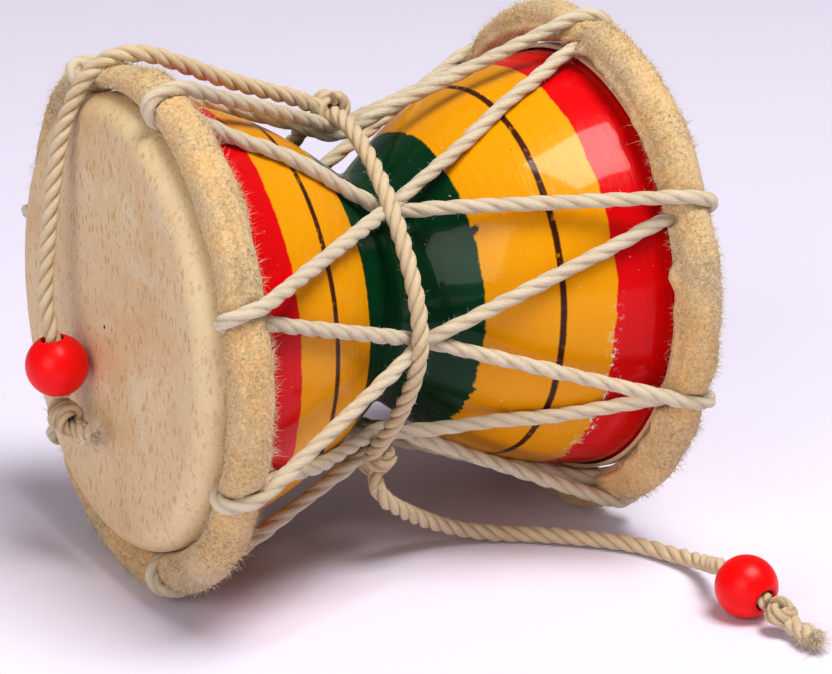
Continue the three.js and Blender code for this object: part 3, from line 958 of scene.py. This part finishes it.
def makeBead(side):
    centre = boxMiddle(side + "_bead")
    knot = np.array(routes[side + "Knot"]) * mm
    way = Vector(knot - centre).normalized()
    s = beadSizes
    startClean()
    bpy.ops.mesh.primitive_uv_sphere_add(segments=s["segments"], ring_count=s["rings"],
                                         radius=routes["beadRadius"] * mm)
    piece = bpy.context.object
    bpy.ops.object.mode_set(mode="EDIT")
    bpy.ops.mesh.select_all(action="DESELECT")
    bpy.ops.object.mode_set(mode="OBJECT")
    for v in piece.data.vertices:
        v.select = math.hypot(v.co.x, v.co.y) < (s["bore"] + s["lip"]) * mm
    bpy.ops.object.mode_set(mode="EDIT")
    bpy.ops.mesh.select_mode(type="VERT")
    bpy.ops.mesh.delete(type="VERT")
    bpy.ops.mesh.select_mode(type="EDGE")
    bpy.ops.mesh.select_non_manifold(extend=False)
    for shape in s["lipShapes"]:
        bpy.ops.mesh.extrude_region_move(TRANSFORM_OT_translate={"value": (0, 0, 0)})
        bpy.ops.transform.resize(value=shape, center_override=(0, 0, 0))
    bpy.ops.mesh.bridge_edge_loops(number_cuts=6)
    bpy.ops.mesh.select_all(action="SELECT")
    bpy.ops.mesh.normals_make_consistent(inside=False)
    bpy.ops.object.mode_set(mode="OBJECT")
    turned = way.to_track_quat("Z", "Y").to_matrix().to_4x4()
    piece.matrix_world = Matrix.Translation(Vector(centre)) @ turned
    bpy.ops.object.transform_apply(location=True, rotation=True, scale=True)
    bpy.ops.object.shade_smooth_by_angle(angle=math.radians(50))
    return finishPiece(side + "Bead", redPlastic, side + "_bead")


leftBead, rightBead = makeBead("left"), makeBead("right")

dress(lacingCord, softCotton)
for piece in (waistCord, leftStriker, rightStriker, leftKnot, rightKnot):
    dress(piece, plyCotton)


def declareCord(path):
    path[::3].tolist() + [path[-1].tolist()]


declareCord(leftWay)
declareCord(rightWay)
print("pieces ride on the drum")


# Floor and light
studio = {
    "floorColor": (0.8, 0.76, 0.9), "worldColor": (0.95, 0.95, 1.0), "world": 0.2,
    "lights": [  # place, what it points at, width, height, watts, colour
        ((0.24, -0.6, 1.75), (0.03, 0, 0.05), 1.0, 0.84, 30.0, (1, 0.98, 0.95)),
        ((-1.5, -1.0, 0.84), (0, 0, 0.05), 1.2, 1.2, 12.5, (1, 0.98, 0.95)),
    ],
}


def makeFloor():
    startClean()
    bpy.ops.mesh.primitive_plane_add(size=4)
    floor = bpy.context.object
    floor.name = "floor"
    f = Finish("pale floor", Roughness=0.8)
    floor.data.materials.append(f.use(Base_Color=studio["floorColor"]))


def makeLights():
    for place, target, width, height, watts, color in studio["lights"]:
        bpy.ops.object.light_add(type="AREA", location=place)
        light = bpy.context.object
        light.data.shape = "RECTANGLE"
        light.data.size, light.data.size_y = width, height
        light.data.energy, light.data.color = watts, color
        light.rotation_euler = (Vector(target) - Vector(place)).to_track_quat("-Z", "Y").to_euler()
    world = bpy.data.worlds.new("studio")
    bpy.context.scene.world = world
    world.use_nodes = True
    background = world.node_tree.nodes["Background"]
    background.inputs[0].default_value = (*studio["worldColor"], 1)
    background.inputs[1].default_value = studio["world"]


makeFloor()
makeLights()
bpy.context.scene.view_settings.view_transform = "Standard"
bpy.context.scene.view_settings.look = "Medium High Contrast"
print("studio lit")
